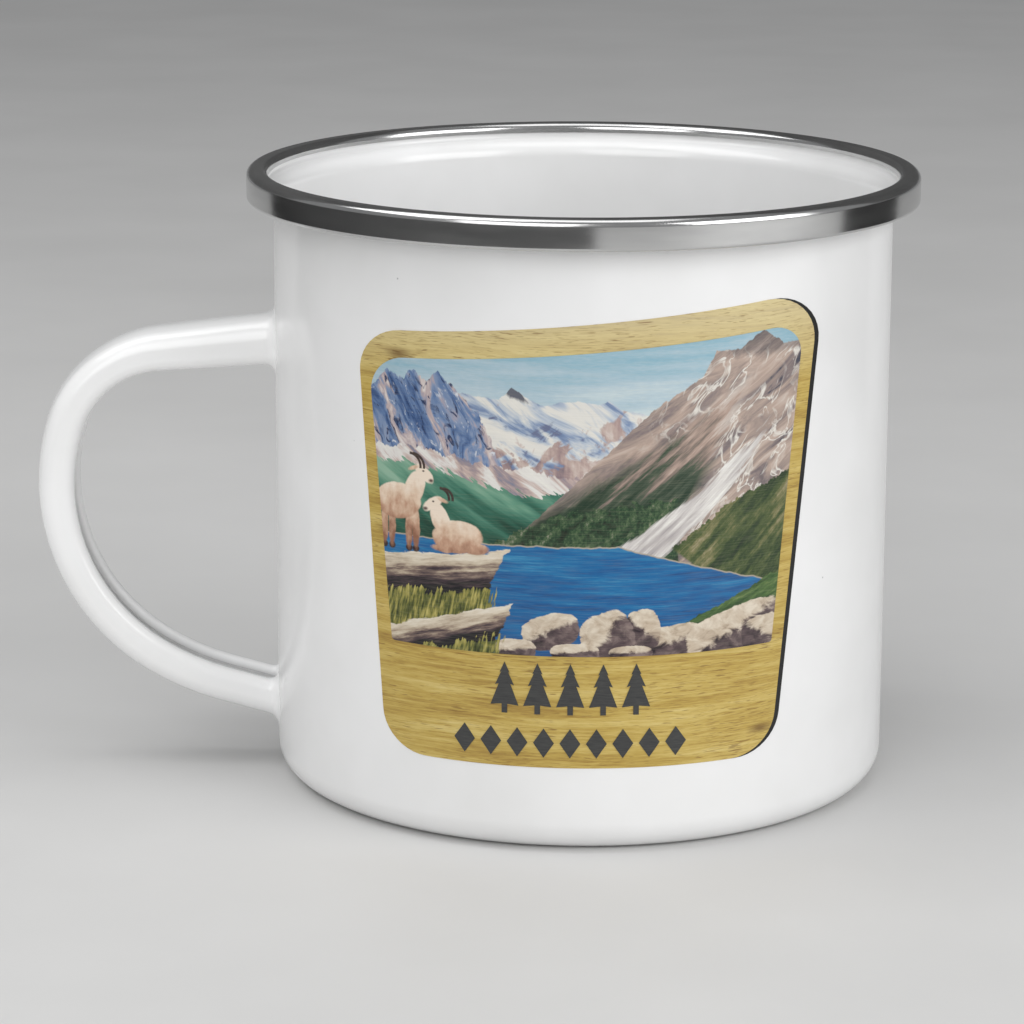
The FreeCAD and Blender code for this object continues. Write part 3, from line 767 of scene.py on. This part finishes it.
        # right end, height of the top there, its slope, thickness, angle of the layers, seed
        for tip, top, tilt, thick, angle, seed in ((-9.2, 38.9, 0.11, 4.4, 7, 71.0),
                                                   (-8.3, 32.3, 0.26, 3.4, 15, 76.0)):
            rough = lumps(0.30, 0.7, seed, detail=5, roughness=0.62)
            over = line(tip, top, tilt) + rough * 1.8
            slab = p.least(over - z, tip - s + (z - top) * 0.45 + rough * 2.4)
            layers = lumps(0.17, 1.3, seed + 1.0, angle, detail=5, roughness=0.66)
            lit = p.ramp(layers * 1.1 + (z - over) * (0.62 / thick) + 0.82, (0.20, c(38, 32, 40)),
                         (0.36, c(74, 62, 66)), (0.48, c(122, 104, 96)), (0.58, c(176, 160, 140)),
                         (0.74, c(208, 196, 176)), (0.90, c(220, 211, 196)))
            colour = lay(slab, colour, lit)
            tuft = lumps(0.5, 2.6, seed + 2.0, 78, detail=3)
            patch = lumps(0.28, 0.5, seed + 3.0)
            grassy = p.ramp(tuft + patch * 0.4 + 0.5, (0.30, c(54, 60, 38)), (0.46, c(94, 98, 54)),
                            (0.58, c(142, 136, 74)), (0.74, c(184, 172, 104)))
            low = over - thick - 0.4 - z + tuft * 3.0 + patch * 3.0
            colour = p.blend(p.cover(low) * p.cover(tip - 1.8 - s + tuft * 5.0, 0.5), colour, grassy)
        return colour

    def goats(colour):
        """Two generic mountain goats on the upper ledge, one on its feet and one lying down."""
        wool = lumps(0.9, 0.6, 81.0, detail=3, roughness=0.55)

        def coat(under, shape, at_z, tall):
            tone = p.ramp(wool * 0.6 + (z - at_z) * (0.46 / tall) + 0.52, (0.22, c(142, 100, 80)),
                          (0.40, c(186, 148, 124)), (0.56, c(214, 188, 164)), (0.76, c(230, 214, 196)))
            return lay(shape + wool * 0.3, under, tone, 0.16)

        def horn(under, at_s, at_z, size):
            ring = p.math("ABSOLUTE", oval(at_s, at_z, size, size)) * -1.0 + 0.17
            return lay(p.least(ring, z - (at_z - 0.2), s - at_s), under, c(66, 54, 52), 0.1)

        def face(under, nose, eye, ear, ear_angle):
            under = lay(oval(*nose, 0.30, 0.20), under, c(96, 78, 74), 0.2)
            under = lay(oval(*eye, 0.15, 0.11), under, c(70, 54, 50), 0.12)
            return coat(under, oval(*ear, 0.75, 0.26, ear_angle), ear[1], 3.0)

        for hoof_s in (-26.2, -25.0, -22.4, -21.4):
            colour = lay(oval(hoof_s, 38.1, 0.5, 0.45), colour, c(58, 46, 46), 0.15)
            colour = coat(colour, oval(hoof_s, 40.8, 0.55, 2.8), 43.0, 6.0)
        standing = p.most(oval(-24.2, 43.9, 3.5, 2.3, 4), oval(-21.7, 45.6, 1.4, 2.7, -24),
                          oval(-20.2, 47.8, 1.6, 0.78, -38))
        colour = coat(colour, standing, 44.0, 5.4)
        colour = face(colour, (-19.2, 47.0), (-20.3, 48.1), (-21.7, 48.4), 20)
        for at_s in (-22.3, -21.8):
            colour = horn(colour, at_s, 48.6, 1.6)

        lying = p.most(oval(-15.6, 40.2, 3.4, 2.1, 4), oval(-17.9, 42.2, 1.2, 2.4, 24),
                       oval(-19.0, 44.1, 1.5, 0.72, 32), oval(-17.0, 38.6, 2.0, 0.55),
                       oval(-13.2, 38.9, 1.8, 0.75))
        colour = coat(colour, lying, 40.4, 4.8)
        colour = face(colour, (-20.0, 43.4), (-18.9, 44.4), (-17.6, 44.7), -20)
        for at_s in (-18.0, -17.5):
            colour = horn(colour, at_s, 44.9, 1.3)
        return colour

    colour = sky()
    for area in (far_range, blue_crags, tongues, valley, brown_peak, forest, scree_fan,
                 right_slope, lake, bank, boulders, ledges, goats):
        colour = area(colour)

    # the board shows through as a faint grain
    veil = lumps(0.3, 6.0, 91.0)
    colour = p.blend(p.math("MULTIPLY_ADD", veil, 0.35, 0.02, clamp=True), colour, c(170, 165, 140))
    return p.set(Base_Color=colour, Roughness=p.math("MULTIPLY_ADD", brush, 0.12, 0.36), IOR=1.5)


# ---------------------------------------------------------------- the pieces

def dress(piece, material, slot, *nodes):
    """Gives a piece its material and hides the CAD nodes that it stands for. The slot is not used."""
    piece.data.materials.append(material)
    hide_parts(*nodes)


white = enamel_white("enamel_white", 0.80, 0.86)
cup_line = walk(CUP_START, CUP_HEADING, CUP_MOVES)
for name, side, node in (("cup_enamel_outside", 1, "cup_cover_coat_outside"),
                         ("cup_enamel_inside", -1, "cup_cover_coat_inside")):
    outline = beside(cup_line, side * COAT_TOP) + beside(cup_line, side * COAT_FOOT)[::-1]
    dress(lathe(name, outline), white, "enamel_white", node)

band_line = walk(BAND_START, BAND_HEADING, BAND_MOVES)
outline = beside(band_line, BAND_HALF) + beside(band_line, -BAND_HALF)[::-1]
dress(lathe("rim_band_stainless", outline), stainless("stainless"), "stainless", "rim_band")

# The handle's white is a lighter copy of the cup's: painted light for the light its rounded front
# catches.
dress(handle_mesh("handle_enamel"), enamel_white("enamel_white_handle_painted_lighter", 0.91, 0.95), "enamel_white",
      "handle_cover_coat")

board = rounded(BOARD, BOARD_CORNERS)
dress(film("badge_board_print", [board], BOARD_RADII), print_wood("print_wood"), "print_wood",
      "badge_board")

# The edge is what a copy of the board, moved to the right, shows beside the board. Its outline runs
# along the board's right side and back along the moved copy's.
half = len(board) // 4
right_side = board[half:3 * half]
moved = [(x + EDGE_SHIFT, z) for x, z in right_side]
dress(film("badge_edge_print", [right_side + moved[::-1]], BOARD_RADII),
      print_ink("print_black", (6, 6, 7), (16, 16, 17)), "print_black", "badge_edge")

dress(film("badge_picture_print", [rounded(PICTURE, PICTURE_CORNERS)], PRINT_RADII),
      print_picture("print_picture"), "print_picture", "badge_picture")

charcoal = print_ink("print_charcoal", (46, 47, 48), (70, 70, 68))
firs = [fir(FIR_START + FIR_PITCH * k, FIR_LEVEL) for k in range(FIR_COUNT)]
dress(film("badge_firs_print", firs, PRINT_RADII), charcoal, "print_charcoal", "badge_firs")
row = [diamond(DIAMOND_START + DIAMOND_PITCH * k, DIAMOND_LEVEL) for k in range(DIAMOND_COUNT)]
dress(film("badge_border_print", row, PRINT_RADII), charcoal, "print_charcoal", "badge_border")

# the CAD nodes that stay, all of them under the enamel
coat, steel = ground_coat("ground_coat"), sheet_steel("sheet_steel")
for node, material in (("cup_ground_coat_inside", coat), ("cup_ground_coat_outside", coat),
                       ("handle_ground_coat", coat), ("cup_steel", steel), ("handle_steel", steel),
                       ("handle_weld_upper", steel), ("handle_weld_lower", steel)):
    for place_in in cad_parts[node].material_slots:
        place_in.material = material

# ---------------------------------------------------------------- floor, light and camera

def stage_mesh(name, points, faces, material):
    """A part of the studio, which isn't part of the mug."""
    mesh = bpy.data.meshes.new(name)
    mesh.from_pydata([(x * MM, y * MM, z * MM) for x, y, z in points], [], faces)
    mesh.materials.append(material)
    made = bpy.data.objects.new(name, mesh)
    bpy.context.collection.objects.link(made)
    return made


def floor_grey(name):
    """A pale matt grey with faint broad clouds."""
    p = Painter(name)
    x, y, z = p.place()
    n = p.noise(x * 0.02, y * 0.02, z * 0.02, detail=4)
    colour = p.ramp(n + 0.5, (0.3, (0.64, 0.637, 0.63, 1)), (0.7, (0.68, 0.677, 0.67, 1)))
    return p.set(Base_Color=colour, Roughness=0.6)


FLOOR_HALF = 4000.0
corners = [(sx * FLOOR_HALF, sy * FLOOR_HALF, 0.0) for sx, sy in ((-1, -1), (1, -1), (1, 1), (-1, 1))]
stage_mesh("floor", corners, [(0, 1, 2, 3)], floor_grey("floor"))

# Dark cards that only reflections see stand where the studio is dark, as seen in the rim band.
CARD_STEPS = 24


def dark_card(name, start, end, albedo_start, albedo_end, radius=260.0, low=0.0, high=80.0):
    """A strip of a ring round the mug, from one azimuth to another; azimuth 0 is the camera's side."""
    turns = [math.radians(start + (end - start) * k / CARD_STEPS) for k in range(CARD_STEPS + 1)]
    foot = [(radius * math.sin(t), -radius * math.cos(t), low) for t in turns]
    points = foot + [(x, y, high) for x, y, _ in foot]
    count = len(foot)
    faces = [(k, k + 1, k + count + 1, k + count) for k in range(CARD_STEPS)]
    painter = Painter(name)
    x, y, _ = painter.place()
    share = (painter.math("ARCTAN2", x, y * -1.0) - turns[0]) * (1.0 / (turns[-1] - turns[0]))
    colour = painter.ramp(share, (0.0, (albedo_start,) * 3 + (1,)), (1.0, (albedo_end,) * 3 + (1,)))
    card = stage_mesh(name, points, faces, painter.set(Base_Color=colour, Roughness=0.9))
    card.visible_camera = card.visible_diffuse = card.visible_shadow = False
    card.visible_transmission = card.visible_volume_scatter = False


dark_card("card_left", -122.0, 3.7, 0.02, 0.23)
dark_card("card_right", 89.6, 123.4, 0.04, 0.05)
dark_card("card_back", 110, 250, 0.12, 0.06, radius=600.0, low=100.0, high=900.0)


AIM_LEVEL = 40.0


def softbox(name, azimuth, elevation, distance, width, height, radiance):
    """A lit panel that faces the mug's middle; azimuth 0 is the camera's side and 90 the right."""
    lamp = bpy.data.lights.new(name, "AREA")
    lamp.shape, lamp.size, lamp.size_y = "RECTANGLE", width * MM, height * MM
    lamp.energy = radiance * math.pi * width * height * MM * MM
    a, e = math.radians(azimuth), math.radians(elevation)
    back = Vector((math.sin(a) * math.cos(e), -math.cos(a) * math.cos(e), math.sin(e)))
    made = bpy.data.objects.new(name, lamp)
    made.location = back * distance * MM + Vector((0, 0, AIM_LEVEL * MM))
    made.rotation_euler = back.to_track_quat("Z", "Y").to_euler()
    made.visible_camera = False
    bpy.context.collection.objects.link(made)


softbox("key_right", 58, 24, 900, 700, 600, 3.3)
softbox("fill_front", -22, 26, 900, 600, 600, 2.3)
softbox("high_left", -80, 58, 800, 500, 500, 2.4)
softbox("overhead", 0, 88, 800, 460, 460, 1.5)

WORLD_GREY = (0.30, 0.303, 0.307, 1)
world = bpy.data.worlds.new("studio")
world.use_nodes = True
world.node_tree.nodes["Background"].inputs["Color"].default_value = WORLD_GREY
bpy.context.scene.world = world
bpy.context.scene.view_settings.view_transform = "Standard"

CAMERA_PLACE = (0.0, -501.30, 155.19)
PITCH, YAW, ROLL = 13.547, -1.047, 0.208
LENS, SENSOR = 135.66, 36.0
CLIP_START, CLIP_END = 0.01, 20.0     # metres

pitch, yaw, roll = (math.radians(angle) for angle in (PITCH, YAW, ROLL))
ahead = Vector((math.sin(yaw) * math.cos(pitch), math.cos(yaw) * math.cos(pitch), -math.sin(pitch)))
level = Vector((math.cos(yaw), -math.sin(yaw), 0.0))
upright = level.cross(ahead)
right = level * math.cos(roll) + upright * math.sin(roll)
up = upright * math.cos(roll) - level * math.sin(roll)
camera = bpy.data.objects.new("camera", bpy.data.cameras.new("camera"))
camera.data.lens, camera.data.sensor_width = LENS, SENSOR
camera.data.clip_start, camera.data.clip_end = CLIP_START, CLIP_END
turned = Matrix((right, up, -ahead)).transposed().to_4x4()
camera.matrix_world = Matrix.Translation(Vector(CAMERA_PLACE) * MM) @ turned
bpy.context.collection.objects.link(camera)
bpy.context.scene.camera = camera

bpy.context.view_layer.update()
